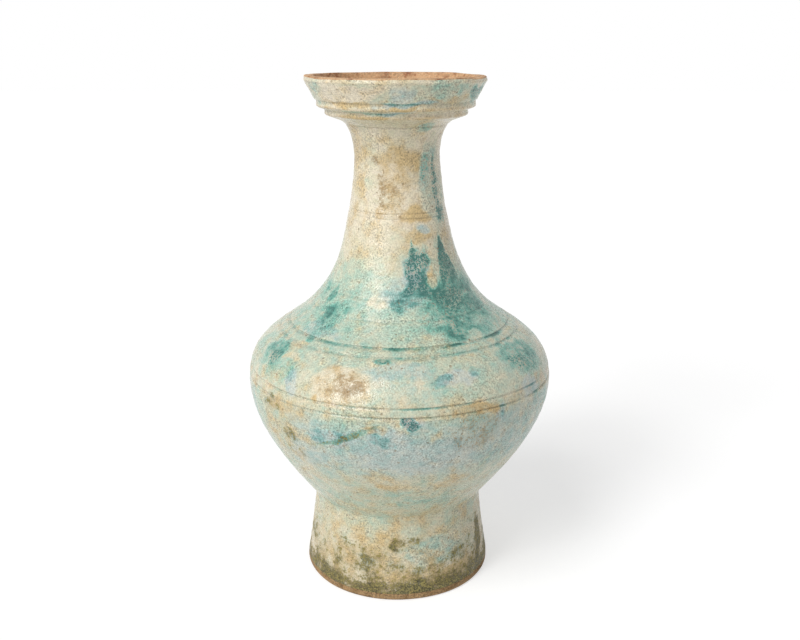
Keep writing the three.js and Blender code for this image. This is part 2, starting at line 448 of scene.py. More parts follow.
class Tint(Enum):
    """What a stain adds to."""

    GLAZE = "glaze"
    BLUE = "blue"
    POOL = "pool"
    OCHRE = "ochre"
    BROWN = "brown"
    MOSS = "moss"


@dataclass(frozen=True)
class Stain:
    """One stain on the glaze: a soft oval, or a run of glaze that narrows to a point at its top.

    Args:
        tint: What it adds to.
        azimuth: Its middle, degrees round from the viewer.
        height: Its middle, above the ground.
        width: Its size round the jar.
        tall: Its size up the wall.
        amount: How strongly it adds; a negative stain takes away.
        turn: Degrees that it leans, clockwise.
        run: True for a run that narrows upwards.
    """

    tint: Tint
    azimuth: float
    height: float
    width: float
    tall: float
    amount: float
    turn: float = 0.0
    run: bool = False

    @property
    def slight(self) -> bool:
        """Tells whether it is a run or too narrow to be pushed about far."""
        return self.run or min(self.width, self.tall) < SLIGHT_STAIN

    def spread(self, outline: JarOutline, place: np.ndarray) -> np.ndarray:
        """Works out how much the stain adds at points of the wall.

        Args:
            outline: The jar's outline, for the wall's place and lean.
            place: Points in millimetres, one row each.

        Returns:
            The amount at each point: most at the middle and 0 outside.
        """
        around = math.radians(self.azimuth)
        lean = math.radians(outline.lean_at(self.height))
        outwards = Vector((math.sin(around), -math.cos(around), 0))
        across = Vector((math.cos(around), math.sin(around), 0))
        up = outwards * math.cos(lean) + Vector((0, 0, math.sin(lean)))
        turned = Matrix.Rotation(math.radians(-self.turn), 3, across.cross(up))
        axes = np.array([turned @ across, across.cross(up), turned @ up]).T
        centre = outwards * outline.radius_at(self.height) + Vector((0, 0, self.height))
        thickness = max(self.width, self.tall) / 2
        halves = (self.width / 2, thickness, self.tall / 2)
        side, deep, rise = ((place - np.array(centre)) @ axes / halves).T
        if self.run:
            wedge = ((1 - rise) / 2 - np.abs(side)) * self.width * RUN_SIDE_EDGE
            foot = (rise + 1) * RUN_FOOT_EDGE
            shape = np.minimum(np.minimum(wedge, foot), RUN_DEPTH_EDGE * (RUN_DEPTH - np.abs(deep)))
        else:
            shape = OVAL_EDGE * (1.0 - np.sqrt(side**2 + deep**2 + rise**2))
        shape = np.clip(shape, 0.0, 1.0)
        return shape * shape * (3 - 2 * shape) * self.amount


def stood(data: bpy.types.ID) -> bpy.types.Object:
    """Stands a mesh, lamp or camera in the scene, under its own name."""
    holder = bpy.data.objects.new(data.name, data)
    bpy.context.scene.collection.objects.link(holder)
    return holder


@dataclass
class ThrownPiece:
    """One piece thrown on the wheel. Sub-classes give its section.

    Spots lie coarsely on a plain wall and finely in a string line. The wall is thicker inside at a
    join, and a run of glaze is less ragged than other stains.
    """

    outline: JarOutline
    wear: Wear
    stains: tuple[Stain, ...]
    node: str = ""
    coarse: float = 1.2
    fine: float = 0.4
    least_rise: float = 0.4
    line_crest: float = 0.5
    join_swell: float = 2.0
    join_reach: float = 11.0
    run_raggedness: float = 0.4

    def section(self) -> list[Spot]:
        """Gives the wall's section in order, up the outside and down the inside."""
        raise NotImplementedError

    def open_on_axis(self) -> bool:
        """Tells whether the section starts and ends on the axis instead of closing on itself."""
        return False

    def outside(self, low: float, high: float) -> list[Spot]:
        """Gives the outer face between two heights, with its string lines cut in.

        Args:
            low: Lowest height.
            high: Highest height.

        Returns:
            Spots going up, closest together in the lines.
        """
        lines = self.outline.lines()
        plain = self.outline.points
        ends = [self.on_line(plain, low), self.on_line(plain, high)]
        kept = [ends[0]] + [p for p in plain if low < p.y < high] + [ends[1]]
        stride = round(self.coarse / self.fine)
        spots = []
        points = spaced(kept, self.fine)
        for index, point in enumerate(points):
            close = any(abs(point.y - line.height) < line.width for line in lines)
            last = index in (0, len(points) - 1)
            if index % stride and not close and not last:
                continue
            before, after = points[max(0, index - 1)], points[min(len(points) - 1, index + 1)]
            steepness = max(self.least_rise, (after - before).normalized().y)
            deepest = max(lines, key=lambda line: line.sink(point.y) * line.depth)
            sunk = deepest.sink(point.y)
            beside = max(line.sink((point.y - line.height) / 2 + line.height) for line in lines)
            radius = point.x - sunk * deepest.depth / steepness
            # The ridges beside a line get a crest, painted paler: partly thinner glaze, partly a painted
            # highlight.
            crest = self.line_crest * (beside - sunk)
            spots.append(Spot(radius, point.y, line=sunk * deepest.depth, crest=crest))
        return spots

    @staticmethod
    def on_line(line: Sequence[Vector], height: float) -> Vector:
        """Finds the point of a rising line at a height."""
        radius = np.interp(height, [p.y for p in line], [p.x for p in line])
        return Vector((float(radius), height))

    def inside(self, wall: float, low: float, high: float, gap: float = 3.0) -> list[Spot]:
        """Gives the inner face between two heights, a wall's thickness in from the outline.

        Args:
            wall: Thickness of the wall.
            low: Lowest height.
            high: Highest height.
            gap: Distance between spots.

        Returns:
            Bare spots going down.
        """
        plain = self.outline.points
        joins = (self.outline.belly_join, self.outline.neck_join, self.outline.mouth_join)
        line = []
        for before, here, after in zip(plain, plain[1:], plain[2:]):
            along = (after - before).normalized()
            swell = sum(self.join_swell * hump(abs(here.y - join) / self.join_reach) for join in joins)
            line.append(here + Vector((-along.y, along.x)) * (wall + swell))
        ends = [self.on_line(line, low), self.on_line(line, high)]
        kept = [ends[0]] + [p for p in line if low < p.y < high] + [ends[1]]
        return unglazed(reversed(spaced(kept, gap)))

    def both_faces(self, wall: float, low: float, high: float) -> list[Spot]:
        """Gives the section of a plain stretch of wall, up its outside and down its inside."""
        return self.outside(low, high) + self.inside(wall, low, high)

    def turn(self) -> bpy.types.Object:
        """Turns the section on the wheel, wears the form and stands it for its CAD node.

        Returns:
            The finished object, without its finish.
        """
        section = self.section()
        mesh_maker = bmesh.new()
        layers = {tag: mesh_maker.verts.layers.float.new(tag.value) for tag in Tag}
        ring = []
        for spot in section:
            vertex = mesh_maker.verts.new((spot.radius * MM, 0.0, spot.height * MM))
            for tag, layer in layers.items():
                vertex[layer] = getattr(spot, tag.value)
            ring.append(vertex)
        edges = [mesh_maker.edges.new(pair) for pair in zip(ring, ring[1:])]
        if not self.open_on_axis():
            edges.append(mesh_maker.edges.new((ring[-1], ring[0])))
        self.spin(mesh_maker, ring + edges, 2 * math.pi / WEDGES, SIDES // WEDGES, copies=False)
        wedge = mesh_maker.verts[:] + mesh_maker.edges[:] + mesh_maker.faces[:]
        self.spin(mesh_maker, wedge, 2 * math.pi * (WEDGES - 1) / WEDGES, WEDGES - 1, copies=True)
        bmesh.ops.remove_doubles(mesh_maker, verts=mesh_maker.verts, dist=WELD * MM)
        bmesh.ops.recalc_face_normals(mesh_maker, faces=mesh_maker.faces)
        mesh = bpy.data.meshes.new(f"{self.node}_ware")
        mesh_maker.to_mesh(mesh)
        mesh_maker.free()
        self.wear_down(mesh)
        mesh.shade_smooth()
        mesh.set_sharp_from_angle(angle=math.radians(CREASE))
        piece = stood(mesh)
        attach(piece, "root")
        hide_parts(self.node)
        return piece

    @staticmethod
    def spin(mesh_maker: bmesh.types.BMesh, parts: list, angle: float, steps: int, copies: bool) -> None:
        """Spins parts of a mesh about the wheel's axis, with copies or faces from step to step."""
        bmesh.ops.spin(
            mesh_maker, geom=parts, cent=(0, 0, 0), axis=(0, 0, 1), dvec=(0, 0, 0),
            angle=angle, steps=steps, use_merge=False, use_duplicate=copies,
        )

    def wear_down(self, mesh: bpy.types.Mesh) -> None:
        """Moves a true mesh's points to where the potter's hand left them, and stains them.

        Args:
            mesh: The mesh, changed in place.
        """
        place = np.empty(len(mesh.vertices) * 3, np.float32)
        line = np.empty(len(mesh.vertices), np.float32)
        mesh.vertices.foreach_get("co", place)
        mesh.attributes[Tag.LINE.value].data.foreach_get("value", line)
        moved = self.wear.settle(place.reshape(-1, 3).astype(float) / MM, line.astype(float))
        mesh.vertices.foreach_set("co", (moved * MM).astype(np.float32).ravel())
        mesh.update()
        ragged = self.wear.ragged(moved)
        streaky = moved + (ragged - moved) * self.run_raggedness
        for tint in Tint:
            kept = [stain for stain in self.stains if stain.tint is tint]
            amount = sum(stain.spread(self.outline, streaky if stain.slight else ragged) for stain in kept)
            layer = mesh.attributes.new(tint.value, "FLOAT", "POINT")
            layer.data.foreach_set("value", amount.astype(np.float32))

    def dress(self, piece: bpy.types.Object, finish: bpy.types.Material) -> None:
        """Gives the turned piece its finish and its material slot."""
        piece.data.materials.append(finish)


@dataclass
class FootRing(ThrownPiece):
    """The hollow splayed foot, worn round on its standing edge."""

    node: str = "foot_ring"
    wall: float = 9.5
    edge_round: float = 3.2
    swell_height: float = 6.0
    taper_height: float = 58.0
    hollow: float = 1.1
    bare_height: float = 3.5
    flat_edge: float = 3.0
    edge_gap: float = 0.8
    inner_gap: float = 4.0
    side_steps: int = 79

    def section(self) -> list[Spot]:
        """Gives the foot's section from its inner standing edge, up the outside and down the inside."""
        radius = reach_of(self.node)
        top = top_of(self.node)
        waist = Vector((self.outline.waist_radius, top))
        inner_top = self.outline.waist_radius - self.wall
        inner_foot = radius - self.wall - self.edge_round / 2
        standing = radius - self.edge_round
        swell = Vector((radius, self.swell_height))
        side = bend(swell, Vector((self.outline.waist_radius, self.taper_height)), waist, self.side_steps)
        flat = Vector((standing - self.flat_edge, 0))
        edge = rounded(flat, Vector((radius, 0)), swell, self.edge_round * 1.2)
        edge = [Vector((inner_foot, 0))] + [p for p in edge if p.y < self.swell_height]
        outer = spaced(edge, self.edge_gap) + spaced(side, self.coarse)[1:]
        spots = unglazed(p for p in outer if p.y < self.bare_height)
        spots += glazed(p for p in outer if p.y >= self.bare_height)
        waist_in = Vector((inner_top, top))
        mid = Vector(((inner_top + inner_foot - self.hollow) / 2, top / 2))
        root = Vector((inner_foot - self.hollow, self.edge_round))
        inner = spaced([waist_in, mid, root, Vector((inner_foot, 0))], self.inner_gap)
        return spots + unglazed(inner[:-1])


@dataclass
class LowerBowl(ThrownPiece):
    """The lower half of the belly with the floor, seated on the foot."""

    node: str = "lower_bowl"
    wall: float = 9.0
    seat_width: float = 9.9
    underside_drop: float = 7.0
    floor: float = 11.0
    floor_gap: float = 4.0
    seat_heading: float = 20.0
    seat_pull: float = 0.35
    floor_heading: float = 230.5
    floor_pulls: tuple[float, float] = (0.12, 0.4)

    def open_on_axis(self) -> bool:
        """Tells that the bowl is closed by its floor."""
        return True

    def section(self) -> list[Spot]:
        """Gives the bowl's section from the underside's middle to the floor's middle."""
        base = self.outline.waist_join
        seat = Vector((self.outline.waist_radius - self.seat_width, base))
        middle = Vector((0, base - self.underside_drop))
        under = sweep(middle, 0, self.seat_pull, seat, self.seat_heading, self.seat_pull)
        inner = self.inside(self.wall, base + self.floor, self.outline.belly_join)
        edge = Vector((inner[-1].radius, inner[-1].height))
        floor_middle = middle + Vector((0, self.floor))
        first, last = self.floor_pulls
        floor = sweep(edge, self.floor_heading, first, floor_middle, 2 * UPRIGHT, last)
        outer = self.outside(base, self.outline.belly_join)
        under, floor = spaced(under, self.floor_gap), spaced(floor, self.floor_gap)
        return unglazed(under) + outer + inner + unglazed(floor[1:])


@dataclass
class UpperBowl(ThrownPiece):
    """The upper half of the belly, up over the shoulder to the root of the neck."""

    node: str = "upper_bowl"
    wall: float = 8.5

    def section(self) -> list[Spot]:
        """Gives the section between the belly's join and the neck's."""
        return self.both_faces(self.wall, self.outline.belly_join, self.outline.neck_join)


@dataclass
class Neck(ThrownPiece):
    """The long waisted neck."""

    node: str = "neck"
    wall: float = 8.0

    def section(self) -> list[Spot]:
        """Gives the section between the shoulder's join and the mouth's."""
        return self.both_faces(self.wall, self.outline.neck_join, self.outline.mouth_join)


@dataclass
class DishMouth(ThrownPiece):
    """The dish: two rounded ledges, a flared wall, a flat bare lip and a shallow basin."""

    node: str = "dish_mouth"
    throat_wall: float = 8.0
    ledge_slope: float = 20.0
    ledge_round: float = 2.4
    ledge_necking: float = 0.7
    lower_ledge_radius: float = 57.6
    lower_ledge_rise: float = 7.8
    upper_ledge_radius: float = 63.8
    upper_ledge_rise: float = 7.2
    wall_root: float = 1.0
    lip_droop: float = 3.4
    lip_width: float = 6.6
    lip_round: float = 1.4
    lip_inner: float = 1.3
    lip_bare: float = 0.9
    edge_wear_and_highlight: float = 0.6
    wall_gap: float = 0.9
    wall_round: float = 1.2
    wall_line: float = 0.25
    wall_line_spots: int = 3
    notch_gap: float = 0.5
    notch_round: float = 0.35
    notch_line: float = 0.6
    notch_share: float = 0.3
    nose_steps: int = 10
    neck_overlap: float = 3.0
    basin_gap: float = 1.8
    throat_gap: float = 2.2
    corner_radius: float = 50.0
    corner_rise: float = 8.8
    corner_heading: float = 24.0
    basin_heading: float = 62.0
    throat_heading: float = 55.0
    under_upper_ledge: tuple[float, float] = (61.0, 395.0)

    def section(self) -> list[Spot]:
        """Gives the dish's section from its join with the neck, round the lip and back down."""
        top = top_of(self.node)
        mouth = reach_of(self.node)
        flare = Vector((self.outline.flare_radius, self.outline.flare_height()))
        lower_top = flare.y + self.lower_ledge_rise
        upper_top = lower_top + self.upper_ledge_rise
        lower_edge = Vector((self.lower_ledge_radius - self.ledge_necking, lower_top))
        upper_edge = Vector((self.upper_ledge_radius - self.ledge_necking, upper_top))
        wall_root = Vector((self.upper_ledge_radius + self.wall_root, upper_top + self.wall_root))
        lip_outer = Vector((mouth, top - self.lip_droop))
        lip_edge = Vector((mouth - self.lip_droop / 4, top))
        lip_inner = Vector((lip_edge.x - self.lip_width, top))
        basin_lip = lip_inner - Vector((self.lip_inner, self.lip_inner * 2))
        spots = self.outside(self.outline.mouth_join, flare.y)[:-1]
        spots += self.ledge(flare, self.lower_ledge_radius, lower_edge, Vector(self.under_upper_ledge))
        spots += self.ledge(lower_edge, self.upper_ledge_radius, upper_edge, wall_root)[1:]
        wall = rounded(upper_edge, wall_root, lip_outer, self.wall_round, 4)
        wall += spaced([wall[-1], lip_outer], self.wall_gap)[1:-2]
        for step, p in enumerate(wall):
            spots.append(Spot(p.x, p.y, line=self.wall_line * max(0.0, 1 - step / self.wall_line_spots)))
        lip = rounded(wall[-1], lip_outer, lip_edge, self.lip_round, 4)
        lip += rounded(lip_outer, lip_edge, lip_inner, self.lip_round, 5)
        # The lip's crest is painted paler: partly worn thin glaze, partly a painted highlight.
        spots += [Spot(p.x, p.y, crest=self.edge_wear_and_highlight, bare=float(p.y > top - self.lip_bare)) for p in lip]
        inner = spaced([lip[-1], lip_inner], 1.0)[1:-1]
        inner += rounded(lip_edge, lip_inner, basin_lip, self.wall_gap, 4)
        corner = Vector((self.corner_radius, flare.y + self.corner_rise))
        join = self.outline.mouth_join
        throat = self.inside(self.throat_wall, join - self.neck_overlap, join)[0]
        throat = Vector((throat.radius, throat.height))
        basin = sweep(corner, self.corner_heading, 0.3, basin_lip, self.basin_heading, 0.5)
        inner += spaced(basin[::-1], self.basin_gap)[1:]
        basin = sweep(throat, self.throat_heading, 0.35, corner, self.corner_heading, 0.35)
        inner += spaced(basin[::-1], self.throat_gap)[1:]
        return spots + unglazed(inner)

    def ledge(self, root: Vector, nose: float, notch: Vector, beyond: Vector) -> list[Spot]:
        """Draws a ledge: a sloping underside, a round nose, an upright edge and the notch above.

        Args:
            root: Where the underside starts.
            nose: Radius of the ledge.
            notch: The notch's deepest point, at the top of the upright edge.
            beyond: A point on the form above the notch.

        Returns:
            Spots going up, the notch's among them.
        """
        corner = Vector((nose, root.y + (nose - root.x) * math.tan(math.radians(self.ledge_slope))))
        arc = rounded(root, corner, notch, self.ledge_round, self.nose_steps)
        edge = spaced([arc[-1], notch + (arc[-1] - notch) * self.notch_share], self.notch_gap)[1:]
        spots = glazed(spaced([root, arc[0]], self.wall_gap)[:-1])
        # The ledge's nose gets a crest, painted paler: partly thinner glaze, partly a painted highlight.
        for step, p in enumerate(arc, 1):
            spots.append(Spot(p.x, p.y, crest=math.sin(math.pi * step / (self.nose_steps + 2))))
        spots += [Spot(p.x, p.y, line=0.1 * step) for step, p in enumerate(edge)]
        bottom = rounded(edge[-1], notch, beyond, self.notch_round, 4)
        return spots + [Spot(p.x, p.y, line=self.notch_line) for p in bottom]


Number = Union["Field", float]


class Field:
    """A number that varies over the surface: one socket, with arithmetic."""

    def __init__(self, graph: "Graph", socket: bpy.types.NodeSocket) -> None:
        """Wraps a socket of a graph."""
        self.graph = graph
        self.socket = socket

    def math(self, operation: str, *others: Number) -> "Field":
        """Adds one Math node, named as Blender names it, and gives its result."""
        return self.graph.math(operation, self, *others)

    def __add__(self, other: Number) -> "Field":
        """Adds."""
        return self.math("ADD", other)

    __radd__ = __add__

    def __sub__(self, other: Number) -> "Field":
        """Subtracts."""
        return self.math("SUBTRACT", other)

    def __rsub__(self, other: Number) -> "Field":
        """Subtracts from a plain number."""
        return self.graph.math("SUBTRACT", other, self)

    def __mul__(self, other: Number) -> "Field":
        """Multiplies."""
        return self.math("MULTIPLY", other)

    __rmul__ = __mul__

    def __truediv__(self, other: Number) -> "Field":
        """Divides."""
        return self.math("DIVIDE", other)

    def larger(self, other: Number) -> "Field":
        """Takes the larger of two."""
        return self.math("MAXIMUM", other)

    def smaller(self, other: Number) -> "Field":
        """Takes the smaller of two."""
        return self.math("MINIMUM", other)

    def size(self) -> "Field":
        """Drops the sign."""
        return self.math("ABSOLUTE")

    def eased(self, low: float, high: float, start: float = 0.0, end: float = 1.0) -> "Field":
        """Eases from one value to another as the field goes from low to high.

        Args:
            low: Field value at the start of the ease.
            high: Field value at its end.
            start: Result at and before low.
            end: Result at and past high.

        Returns:
            The eased field.
        """
        inputs = {"Value": self, "From Min": low, "From Max": high, "To Min": start, "To Max": end}
        node = self.graph.node("ShaderNodeMapRange", inputs, {"interpolation_type": "SMOOTHSTEP"})
        return Field(self.graph, node.outputs["Result"])


class Graph:
    """The node graph of a material or a world, with coordinates in millimetres."""

    def __init__(self, owner: Union[bpy.types.Material, bpy.types.World]) -> None:
        """Takes over the owner's graph and empties it."""
        owner.use_nodes = True
        self.owner = owner
        self.tree = owner.node_tree
        self.tree.nodes.clear()

    @cached_property
    def place(self) -> bpy.types.NodeSocket:
        """Gives the object's own coordinates, in millimetres."""
        return self.scaled(self.node("ShaderNodeTexCoord").outputs["Object"], 1 / MM)

    def node(
        self, kind: str, inputs: Optional[dict[Any, Any]] = None, settings: Optional[dict[str, Any]] = None,
    ) -> bpy.types.Node:
        """Adds a node: its settings first, then the values or links of its sockets.

        Args:
            kind: Blender's type name.
            inputs: Socket name or index to a value, socket or field.
            settings: Properties, or "stops" for a ramp as (position, colour) pairs.

        Returns:
            The node.
        """
        node = self.tree.nodes.new(kind)
        for key, value in (settings or {}).items():
            if key == "stops":
                self.set_stops(node, value)
            else:
                setattr(node, key, value)
        for key, value in (inputs or {}).items():
            if isinstance(value, Field):
                value = value.socket
            if isinstance(value, bpy.types.NodeSocket):
                self.tree.links.new(value, node.inputs[key])
            else:
                node.inputs[key].default_value = value
        return node

    @staticmethod
    def set_stops(node: bpy.types.Node, stops: Iterable[tuple[float, tuple[float, ...]]]) -> None:
        """Gives a ramp its stops."""
        elements = node.color_ramp.elements
        while len(elements) > 1:
            elements.remove(elements[-1])
        for index, (position, colour) in enumerate(stops):
            element = elements[0] if index == 0 else elements.new(position)
            element.position = position
            element.color = (*colour, 1.0)

    def math(self, operation: str, *values: Number) -> Field:
        """Adds a Math node on any mix of numbers and fields."""
        node = self.node("ShaderNodeMath", dict(enumerate(values)), {"operation": operation})
        return Field(self, node.outputs[0])

    def scaled(self, value: Any, amount: Number) -> bpy.types.NodeSocket:
        """Scales a vector's length or a colour's brightness."""
        inputs = {0: value, "Scale": amount}
        return self.node("ShaderNodeVectorMath", inputs, {"operation": "SCALE"}).outputs[0]

    def blend(self, below: Any, above: Any, amount: Number) -> bpy.types.NodeSocket:
        """Lays one colour over another, which shows by the amount."""
        inputs = {0: amount, 6: below, 7: above}
        return self.node("ShaderNodeMix", inputs, {"data_type": "RGBA", "clamp_factor": True}).outputs[2]

    def ramp(self, stops: Iterable[Any], amount: Field) -> bpy.types.NodeSocket:
        """Looks a colour up on a ramp of (position, colour) stops."""
        return self.node("ShaderNodeValToRGB", {0: amount}, {"stops": stops}).outputs[0]

    def moved(self, offset: Sequence[float], squash: Sequence[float] = (1, 1, 1)) -> bpy.types.NodeSocket:
        """Shifts and stretches the coordinates for a pattern."""
        inputs = {"Vector": self.place, "Location": offset, "Scale": squash}
        return self.node("ShaderNodeMapping", inputs).outputs[0]

    def noise(self, cloud: "Cloud") -> Field:
        """Adds a cloud noise that swings by about 0.2 either side of 0."""
        inputs = {
            "Vector": self.moved(cloud.offset, cloud.squash), "Scale": 1 / cloud.grain,
            "Detail": cloud.detail, "Roughness": cloud.roughness,
        }
        return Field(self, self.node("ShaderNodeTexNoise", inputs).outputs["Fac"]) - 0.5

    def cells(self, grain: float, feature: str = "F1", offset: Sequence[float] = (0, 0, 0)) -> Field:
        """Adds a pattern of cells of a size and gives the distance that the feature measures, in cells."""
        inputs = {"Vector": self.moved(offset), "Scale": 1 / grain}
        node = self.node("ShaderNodeTexVoronoi", inputs, {"feature": feature})
        return Field(self, node.outputs["Distance"])

    def split(self, kind: str, value: Any) -> list[Field]:
        """Splits a vector, "XYZ", or a colour, "Color", into its three numbers."""
        node = self.node(f"ShaderNodeSeparate{kind}", {0: value})
        return [Field(self, node.outputs[index]) for index in range(3)]

    def tag(self, tag: Enum) -> Field:
        """Reads what a mesh says of its points."""
        settings = {"attribute_name": tag.value, "attribute_type": "GEOMETRY"}
        return Field(self, self.node("ShaderNodeAttribute", None, settings).outputs["Fac"])


def paint(code: str) -> tuple[float, float, float, float]:
    """Turns a six-digit colour code into a linear colour."""
    parts = [int(code[i : i + 2], 16) / 255 for i in (0, 2, 4)]
    linear = [c / 12.92 if c <= 0.04045 else ((c + 0.055) / 1.055) ** 2.4 for c in parts]
    return (*linear, 1.0)


@dataclass(frozen=True)
class Cloud:
    """A cloud noise: size of its features, octaves of finer detail and their weight, shift and stretch."""

    grain: float
    detail: float
    roughness: float
    offset: tuple[float, float, float]
    squash: tuple[float, float, float] = (1, 1, 1)


@dataclass(frozen=True)
class Palette:
    """The colours of the weathered ware."""

    ochre: str = "d1b682"
    brown: str = "8d7149"
    moss: str = "55501f"
    pale_moss: str = "7d733e"
    clay: str = "d6ad82"
    dark_clay: str = "93603f"
    soiled_clay: str = "b08f66"
    dark_soil: str = "80643f"


@dataclass(frozen=True)
class WeatheredGlaze:
    """Green lead glaze, leached pale by burial: cream where thin, aqua and teal where it is deep.

    A glaze of growing depth goes through the tones in order, green over most of the jar and blue in
    places. The zones say how deep, how blue and how ochre-stained the glaze is at each share of the
    jar's height. A band has the heights where it starts and ends and, if it has a third number, its
    level at the start.
    """

    palette: Palette = Palette()
    name: str = "weathered_glaze"
    clouds: Cloud = Cloud(44.0, 3.0, 0.6, (31, 12, 7))
    patches: Cloud = Cloud(15.0, 3.0, 0.54, (3, 44, 19))
    rust: Cloud = Cloud(12.0, 3.0, 0.54, (61, 5, 33))
    smear: Cloud = Cloud(6.0, 2.0, 0.55, (8, 1, 30), (0.8, 0.8, 1.3))
    mottle: Cloud = Cloud(3.2, 2.0, 0.6, (5, 9, 2))
    grain: Cloud = Cloud(1.3, 1.0, 0.6, (17, 3, 8))
    speck_size: float = 1.9
    craze_size: float = 3.1
    pit_spacing: float = 7.0
    deepest: float = 0.97
    ochre_cover: float = 0.92
    brown_cover: float = 0.75
    moss_cover: float = 0.92
    pit_cover: float = 0.55
    moss_bands: Rows = ((4.0, 70.0, 0.34), (7.0, 24.0, 0.56), (0.0, 6.0, -0.35))
    soiled_clay_band: tuple[float, float] = (8.0, 60.0)
    dusky_band: tuple[float, float, float] = (16.0, 84.0, 0.88)
    gloss: float = 0.28
    roughness_limits: tuple[float, float] = (0.18, 0.95)
    tone_depths: tuple[float, ...] = (0.0, 0.22, 0.38, 0.52, 0.66, 0.8, 0.92, 1.0)
    green_tones: str = "ece0c8 ded7bb c9d0b8 b0c8b5 90bcaa 67a293 49877a 386d64"
    blue_tones: str = "e4dec9 d6d7c6 c3cdc5 aec3bd 8fb4af 669892 497d78 376863"
    zones: Rows = (
        (0.0, 0.2, 0.1, 0.7), (0.1, 0.28, 0.1, 0.5), (0.17, 0.36, 0.2, 0.38),
        (0.2, 0.38, 0.15, 0.32), (0.235, 0.4, 0.2, 0.28), (0.28, 0.39, 0.2, 0.32),
        (0.33, 0.46, 0.65, 0.18), (0.41, 0.46, 0.55, 0.18), (0.44, 0.37, 0.2, 0.34),
        (0.48, 0.4, 0.25, 0.24), (0.53, 0.48, 0.25, 0.15), (0.61, 0.53, 0.25, 0.05),
        (0.67, 0.3, 0.15, 0.29), (0.74, 0.1, 0.1, 0.3), (0.9, 0.12, 0.15, 0.29),
        (0.96, 0.26, 0.2, 0.2), (1.0, 0.28, 0.15, 0.2),
    )

    def material(self) -> bpy.types.Material:
        """Builds the finish.

        Returns:
            The material, shared by every piece so that its patterns run on across the joins.
        """
        graph = Graph(bpy.data.materials.new(self.name))
        colour, roughness, relief = self.surface(graph)
        bump = graph.node("ShaderNodeBump", {"Strength": 1.0, "Distance": MM, "Height": relief})
        inputs = {"Base Color": colour, "Roughness": roughness, "Normal": bump.outputs[0], "IOR": 1.5}
        shader = graph.node("ShaderNodeBsdfPrincipled", inputs)
        graph.node("ShaderNodeOutputMaterial", {"Surface": shader.outputs[0]})
        return graph.owner

    def surface(self, graph: Graph) -> tuple[Any, Field, Field]:
        """Lays the glaze's depth, the stains in it and the bare clay over one another.

        Args:
            graph: The material's graph.

        Returns:
            Base colour, roughness and relief in millimetres.
        """
        hues = {name: paint(code) for name, code in vars(self.palette).items()}
        _, away, height = graph.split("XYZ", graph.place)
        stops = [(share, zone) for share, *zone in self.zones]
        deep, blueness, warm = graph.split("Color", graph.ramp(stops, height / top_of("dish_mouth")))

        # Patterns, from the broadest to the finest.
        kinds = (self.clouds, self.patches, self.rust, self.smear, self.mottle, self.grain)
        clouds, patches, rust, smear, mottle, grain = [graph.noise(kind) for kind in kinds]
        speck = (graph.cells(self.speck_size) + grain * 0.9).eased(0.2, 0.5, 1.0, 0.0)
        busy = (rust + clouds).eased(-0.16, 0.16, 0.65, 1.4)
        craze = graph.cells(self.craze_size, "DISTANCE_TO_EDGE", (4, 4, 9)).eased(0.0, 0.12, 1.0, 0.0)
        pits = (graph.cells(self.pit_spacing, "F1", (2, 7, 1)) + smear * 0.4).eased(0.04, 0.12, 1.0, 0.0)
        line = graph.tag(Tag.LINE)
        crest = graph.tag(Tag.CREST)
        turned_away = away.eased(-30.0, 30.0)

        # The glaze's depth and hue.
        ragged = smear * 0.45 + mottle * 0.35 + patches * 0.3 + grain * 0.35
        stain = graph.tag(Tint.GLAZE)
        stain = stain * (stain.size() + ragged).eased(-0.04, 0.1)
        pooled = line * (graph.tag(Tint.POOL) * 0.36 + patches * 0.5 + smear * 0.4)
        texture = patches * 0.65 + smear * 0.5 + mottle * 0.25 - 0.01
        flecks = mottle * 0.9 + grain * 1.5 - craze * 0.08
        # Crests take glaze away and paint the edges paler: partly worn thin glaze, partly a painted
        # highlight.
        depth = deep + stain + pooled + clouds * (turned_away * 0.7 + 0.3) - crest * 0.15
        deepened = stain.larger(0.0)
        depth = (depth + texture * (deepened * 1.3 + 0.85)).smaller(self.deepest)
        fleck_depth = deepened.eased(0.22, 0.64, 0.0, 4.3) - deepened.eased(0.8, 1.0, 0.0, 3.4)
        depth = depth + (flecks * fleck_depth).larger(-0.4)
        bluish = (blueness + graph.tag(Tint.BLUE) - clouds * 0.7 + smear * 0.35).eased(0.15, 0.85)
        green = graph.ramp(self.stops(self.green_tones), depth)
        blue = graph.ramp(self.stops(self.blue_tones), depth)
        colour = graph.blend(green, blue, bluish)

        # Ochre and brown soil, and moss.
        ochre = warm + graph.tag(Tint.OCHRE) + rust * 1.7 - smear * 0.2 + crest * 0.3 - stain * 0.6
        ochre = (ochre + mottle * 0.15 - deepened).eased(0.12, 0.95)
        colour = graph.blend(colour, hues["ochre"], ochre * self.ochre_cover)
        browned = graph.tag(Tint.BROWN) + warm * 0.2
        brown = (browned + mottle * 2.2 + grain * 2.2 + rust * 0.9 + smear * 0.9).eased(0.3, 1.0)
        brown = brown * browned.eased(0.03, 0.12)
        colour = graph.blend(colour, hues["brown"], brown * self.brown_cover)
        mossy = graph.tag(Tint.MOSS)
        for low, high, strength in self.moss_bands:
            mossy = mossy + height.eased(low, high, strength, 0.0)
        moss = mossy + clouds * 0.5 + patches * 1.4 + smear * 1.2
        moss = (moss + mottle * 1.6 + grain * 1.6).eased(0.18, 0.72) * mossy.eased(0.02, 0.15)
        tufts = (mottle * 1.2 + grain).eased(-0.14, 0.2)
        tuft = graph.blend(hues["moss"], hues["pale_moss"], tufts)
        colour = graph.blend(colour, tuft, moss * self.moss_cover)

        # Bare clay.
        bare = (graph.tag(Tag.BARE) * 2.0 + smear * 0.5 + mottle * 0.5).eased(0.42, 0.6)
        worn = (smear * 1.2 + mottle * 1.2 + grain * 0.8 + patches * 0.8).eased(-0.1, 0.45)
        soiled = height.eased(*self.soiled_clay_band, 1.0, 0.0)
        clay = graph.blend(hues["clay"], hues["dark_clay"], worn)
        clay = graph.blend(clay, graph.blend(hues["soiled_clay"], hues["dark_soil"], worn), soiled)
        colour = graph.blend(colour, clay, bare)
